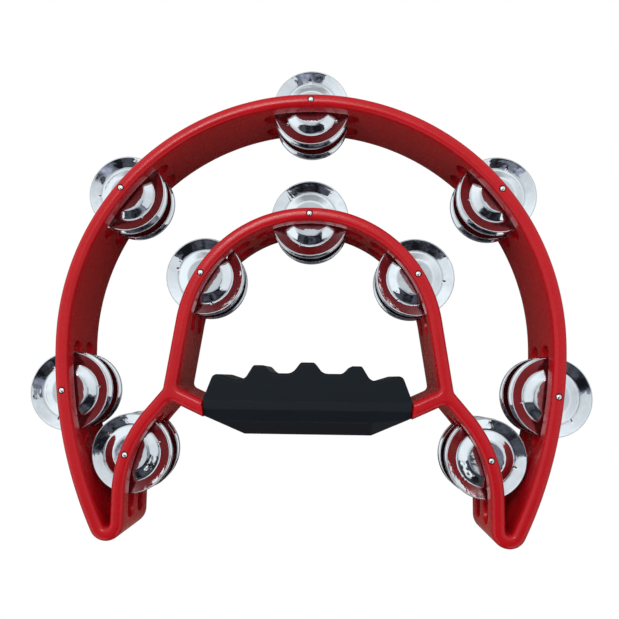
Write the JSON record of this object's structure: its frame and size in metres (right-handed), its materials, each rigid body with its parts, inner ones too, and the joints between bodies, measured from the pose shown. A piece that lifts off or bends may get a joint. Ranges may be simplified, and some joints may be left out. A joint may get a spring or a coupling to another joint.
{
  "type": "hand tambourine",
  "caption": "Half-moon hand tambourine with an inner arch, a double row of jingle pairs on pins and a rubber grip with finger grooves.",
  "frame": {"origin": "middle of the whole instrument seen from the front, on the plane of the rear edge of the frame", "axes": "+X to the right seen from the front, +Y from the grip towards the top of the rim, +Z from the rear edge to the front edge, along the pins"},
  "size_m": [0.2852, 0.2446, 0.0455],
  "materials": {
    "frame_plastic": "moulded red plastic with a soft gloss, polished by handling along its edges",
    "grip_rubber": "matte near-black moulded rubber with a fine grain",
    "pin_steel": "bright drawn steel with a domed head",
    "jingle_nickel": "nickel-plated stamped sheet, mirror bright with fine handling marks"
  },
  "bodies": {
    "root": {"frame": "frame_plastic", "grip": "grip_rubber", "pin_rim_top": "pin_steel", "pin_rim_upper_right": "pin_steel", "pin_rim_upper_left": "pin_steel", "pin_rim_right": "pin_steel", "pin_rim_left": "pin_steel", "pin_arch_top": "pin_steel", "pin_arch_right": "pin_steel", "pin_arch_left": "pin_steel", "pin_leg_right": "pin_steel", "pin_leg_left": "pin_steel"},
    "rim_top_rear_near": {"jingle_rim_top_rear_near": "jingle_nickel"},
    "rim_top_rear_far": {"jingle_rim_top_rear_far": "jingle_nickel"},
    "rim_top_front_near": {"jingle_rim_top_front_near": "jingle_nickel"},
    "rim_top_front_far": {"jingle_rim_top_front_far": "jingle_nickel"},
    "rim_upper_right_rear_near": {"jingle_rim_upper_right_rear_near": "jingle_nickel"},
    "rim_upper_right_rear_far": {"jingle_rim_upper_right_rear_far": "jingle_nickel"},
    "rim_upper_right_front_near": {"jingle_rim_upper_right_front_near": "jingle_nickel"},
    "rim_upper_right_front_far": {"jingle_rim_upper_right_front_far": "jingle_nickel"},
    "rim_upper_left_rear_near": {"jingle_rim_upper_left_rear_near": "jingle_nickel"},
    "rim_upper_left_rear_far": {"jingle_rim_upper_left_rear_far": "jingle_nickel"},
    "rim_upper_left_front_near": {"jingle_rim_upper_left_front_near": "jingle_nickel"},
    "rim_upper_left_front_far": {"jingle_rim_upper_left_front_far": "jingle_nickel"},
    "rim_right_rear_near": {"jingle_rim_right_rear_near": "jingle_nickel"},
    "rim_right_rear_far": {"jingle_rim_right_rear_far": "jingle_nickel"},
    "rim_right_front_near": {"jingle_rim_right_front_near": "jingle_nickel"},
    "rim_right_front_far": {"jingle_rim_right_front_far": "jingle_nickel"},
    "rim_left_rear_near": {"jingle_rim_left_rear_near": "jingle_nickel"},
    "rim_left_rear_far": {"jingle_rim_left_rear_far": "jingle_nickel"},
    "rim_left_front_near": {"jingle_rim_left_front_near": "jingle_nickel"},
    "rim_left_front_far": {"jingle_rim_left_front_far": "jingle_nickel"},
    "arch_top_rear_near": {"jingle_arch_top_rear_near": "jingle_nickel"},
    "arch_top_rear_far": {"jingle_arch_top_rear_far": "jingle_nickel"},
    "arch_top_front_near": {"jingle_arch_top_front_near": "jingle_nickel"},
    "arch_top_front_far": {"jingle_arch_top_front_far": "jingle_nickel"},
    "arch_right_rear_near": {"jingle_arch_right_rear_near": "jingle_nickel"},
    "arch_right_rear_far": {"jingle_arch_right_rear_far": "jingle_nickel"},
    "arch_right_front_near": {"jingle_arch_right_front_near": "jingle_nickel"},
    "arch_right_front_far": {"jingle_arch_right_front_far": "jingle_nickel"},
    "arch_left_rear_near": {"jingle_arch_left_rear_near": "jingle_nickel"},
    "arch_left_rear_far": {"jingle_arch_left_rear_far": "jingle_nickel"},
    "arch_left_front_near": {"jingle_arch_left_front_near": "jingle_nickel"},
    "arch_left_front_far": {"jingle_arch_left_front_far": "jingle_nickel"},
    "leg_right_rear_near": {"jingle_leg_right_rear_near": "jingle_nickel"},
    "leg_right_rear_far": {"jingle_leg_right_rear_far": "jingle_nickel"},
    "leg_right_front_near": {"jingle_leg_right_front_near": "jingle_nickel"},
    "leg_right_front_far": {"jingle_leg_right_front_far": "jingle_nickel"},
    "leg_left_rear_near": {"jingle_leg_left_rear_near": "jingle_nickel"},
    "leg_left_rear_far": {"jingle_leg_left_rear_far": "jingle_nickel"},
    "leg_left_front_near": {"jingle_leg_left_front_near": "jingle_nickel"},
    "leg_left_front_far": {"jingle_leg_left_front_far": "jingle_nickel"}
  },
  "joints": [
    {"name": "rim_top_rear_near_slide", "type": "slide", "parent": "root", "child": "rim_top_rear_near", "axis": [0, 0, 1], "range_m": [-0.0007, 0.0013]},
    {"name": "rim_top_rear_far_slide", "type": "slide", "parent": "root", "child": "rim_top_rear_far", "axis": [0, 0, -1], "range_m": [-0.0007, 0.0013]},
    {"name": "rim_top_front_near_slide", "type": "slide", "parent": "root", "child": "rim_top_front_near", "axis": [0, 0, 1], "range_m": [-0.0007, 0.0013]},
    {"name": "rim_top_front_far_slide", "type": "slide", "parent": "root", "child": "rim_top_front_far", "axis": [0, 0, -1], "range_m": [-0.0007, 0.0013]},
    {"name": "rim_upper_right_rear_near_slide", "type": "slide", "parent": "root", "child": "rim_upper_right_rear_near", "axis": [0, 0, 1], "range_m": [-0.0007, 0.0013]},
    {"name": "rim_upper_right_rear_far_slide", "type": "slide", "parent": "root", "child": "rim_upper_right_rear_far", "axis": [0, 0, -1], "range_m": [-0.0007, 0.0013]},
    {"name": "rim_upper_right_front_near_slide", "type": "slide", "parent": "root", "child": "rim_upper_right_front_near", "axis": [0, 0, 1], "range_m": [-0.0007, 0.0013]},
    {"name": "rim_upper_right_front_far_slide", "type": "slide", "parent": "root", "child": "rim_upper_right_front_far", "axis": [0, 0, -1], "range_m": [-0.0007, 0.0013]},
    {"name": "rim_upper_left_rear_near_slide", "type": "slide", "parent": "root", "child": "rim_upper_left_rear_near", "axis": [0, 0, 1], "range_m": [-0.0007, 0.0013]},
    {"name": "rim_upper_left_rear_far_slide", "type": "slide", "parent": "root", "child": "rim_upper_left_rear_far", "axis": [0, 0, -1], "range_m": [-0.0007, 0.0013]},
    {"name": "rim_upper_left_front_near_slide", "type": "slide", "parent": "root", "child": "rim_upper_left_front_near", "axis": [0, 0, 1], "range_m": [-0.0007, 0.0013]},
    {"name": "rim_upper_left_front_far_slide", "type": "slide", "parent": "root", "child": "rim_upper_left_front_far", "axis": [0, 0, -1], "range_m": [-0.0007, 0.0013]},
    {"name": "rim_right_rear_near_slide", "type": "slide", "parent": "root", "child": "rim_right_rear_near", "axis": [0, 0, 1], "range_m": [-0.0007, 0.0013]},
    {"name": "rim_right_rear_far_slide", "type": "slide", "parent": "root", "child": "rim_right_rear_far", "axis": [0, 0, -1], "range_m": [-0.0007, 0.0013]},
    {"name": "rim_right_front_near_slide", "type": "slide", "parent": "root", "child": "rim_right_front_near", "axis": [0, 0, 1], "range_m": [-0.0007, 0.0013]},
    {"name": "rim_right_front_far_slide", "type": "slide", "parent": "root", "child": "rim_right_front_far", "axis": [0, 0, -1], "range_m": [-0.0007, 0.0013]},
    {"name": "rim_left_rear_near_slide", "type": "slide", "parent": "root", "child": "rim_left_rear_near", "axis": [0, 0, 1], "range_m": [-0.0007, 0.0013]},
    {"name": "rim_left_rear_far_slide", "type": "slide", "parent": "root", "child": "rim_left_rear_far", "axis": [0, 0, -1], "range_m": [-0.0007, 0.0013]},
    {"name": "rim_left_front_near_slide", "type": "slide", "parent": "root", "child": "rim_left_front_near", "axis": [0, 0, 1], "range_m": [-0.0007, 0.0013]},
    {"name": "rim_left_front_far_slide", "type": "slide", "parent": "root", "child": "rim_left_front_far", "axis": [0, 0, -1], "range_m": [-0.0007, 0.0013]},
    {"name": "arch_top_rear_near_slide", "type": "slide", "parent": "root", "child": "arch_top_rear_near", "axis": [0, 0, 1], "range_m": [-0.0007, 0.0013]},
    {"name": "arch_top_rear_far_slide", "type": "slide", "parent": "root", "child": "arch_top_rear_far", "axis": [0, 0, -1], "range_m": [-0.0007, 0.0013]},
    {"name": "arch_top_front_near_slide", "type": "slide", "parent": "root", "child": "arch_top_front_near", "axis": [0, 0, 1], "range_m": [-0.0007, 0.0013]},
    {"name": "arch_top_front_far_slide", "type": "slide", "parent": "root", "child": "arch_top_front_far", "axis": [0, 0, -1], "range_m": [-0.0007, 0.0013]},
    {"name": "arch_right_rear_near_slide", "type": "slide", "parent": "root", "child": "arch_right_rear_near", "axis": [0, 0, 1], "range_m": [-0.0007, 0.0013]},
    {"name": "arch_right_rear_far_slide", "type": "slide", "parent": "root", "child": "arch_right_rear_far", "axis": [0, 0, -1], "range_m": [-0.0007, 0.0013]},
    {"name": "arch_right_front_near_slide", "type": "slide", "parent": "root", "child": "arch_right_front_near", "axis": [0, 0, 1], "range_m": [-0.0007, 0.0013]},
    {"name": "arch_right_front_far_slide", "type": "slide", "parent": "root", "child": "arch_right_front_far", "axis": [0, 0, -1], "range_m": [-0.0007, 0.0013]},
    {"name": "arch_left_rear_near_slide", "type": "slide", "parent": "root", "child": "arch_left_rear_near", "axis": [0, 0, 1], "range_m": [-0.0007, 0.0013]},
    {"name": "arch_left_rear_far_slide", "type": "slide", "parent": "root", "child": "arch_left_rear_far", "axis": [0, 0, -1], "range_m": [-0.0007, 0.0013]},
    {"name": "arch_left_front_near_slide", "type": "slide", "parent": "root", "child": "arch_left_front_near", "axis": [0, 0, 1], "range_m": [-0.0007, 0.0013]},
    {"name": "arch_left_front_far_slide", "type": "slide", "parent": "root", "child": "arch_left_front_far", "axis": [0, 0, -1], "range_m": [-0.0007, 0.0013]},
    {"name": "leg_right_rear_near_slide", "type": "slide", "parent": "root", "child": "leg_right_rear_near", "axis": [0, 0, 1], "range_m": [-0.0007, 0.0013]},
    {"name": "leg_right_rear_far_slide", "type": "slide", "parent": "root", "child": "leg_right_rear_far", "axis": [0, 0, -1], "range_m": [-0.0007, 0.0013]},
    {"name": "leg_right_front_near_slide", "type": "slide", "parent": "root", "child": "leg_right_front_near", "axis": [0, 0, 1], "range_m": [-0.0007, 0.0013]},
    {"name": "leg_right_front_far_slide", "type": "slide", "parent": "root", "child": "leg_right_front_far", "axis": [0, 0, -1], "range_m": [-0.0007, 0.0013]},
    {"name": "leg_left_rear_near_slide", "type": "slide", "parent": "root", "child": "leg_left_rear_near", "axis": [0, 0, 1], "range_m": [-0.0007, 0.0013]},
    {"name": "leg_left_rear_far_slide", "type": "slide", "parent": "root", "child": "leg_left_rear_far", "axis": [0, 0, -1], "range_m": [-0.0007, 0.0013]},
    {"name": "leg_left_front_near_slide", "type": "slide", "parent": "root", "child": "leg_left_front_near", "axis": [0, 0, 1], "range_m": [-0.0007, 0.0013]},
    {"name": "leg_left_front_far_slide", "type": "slide", "parent": "root", "child": "leg_left_front_far", "axis": [0, 0, -1], "range_m": [-0.0007, 0.0013]}
  ]
}
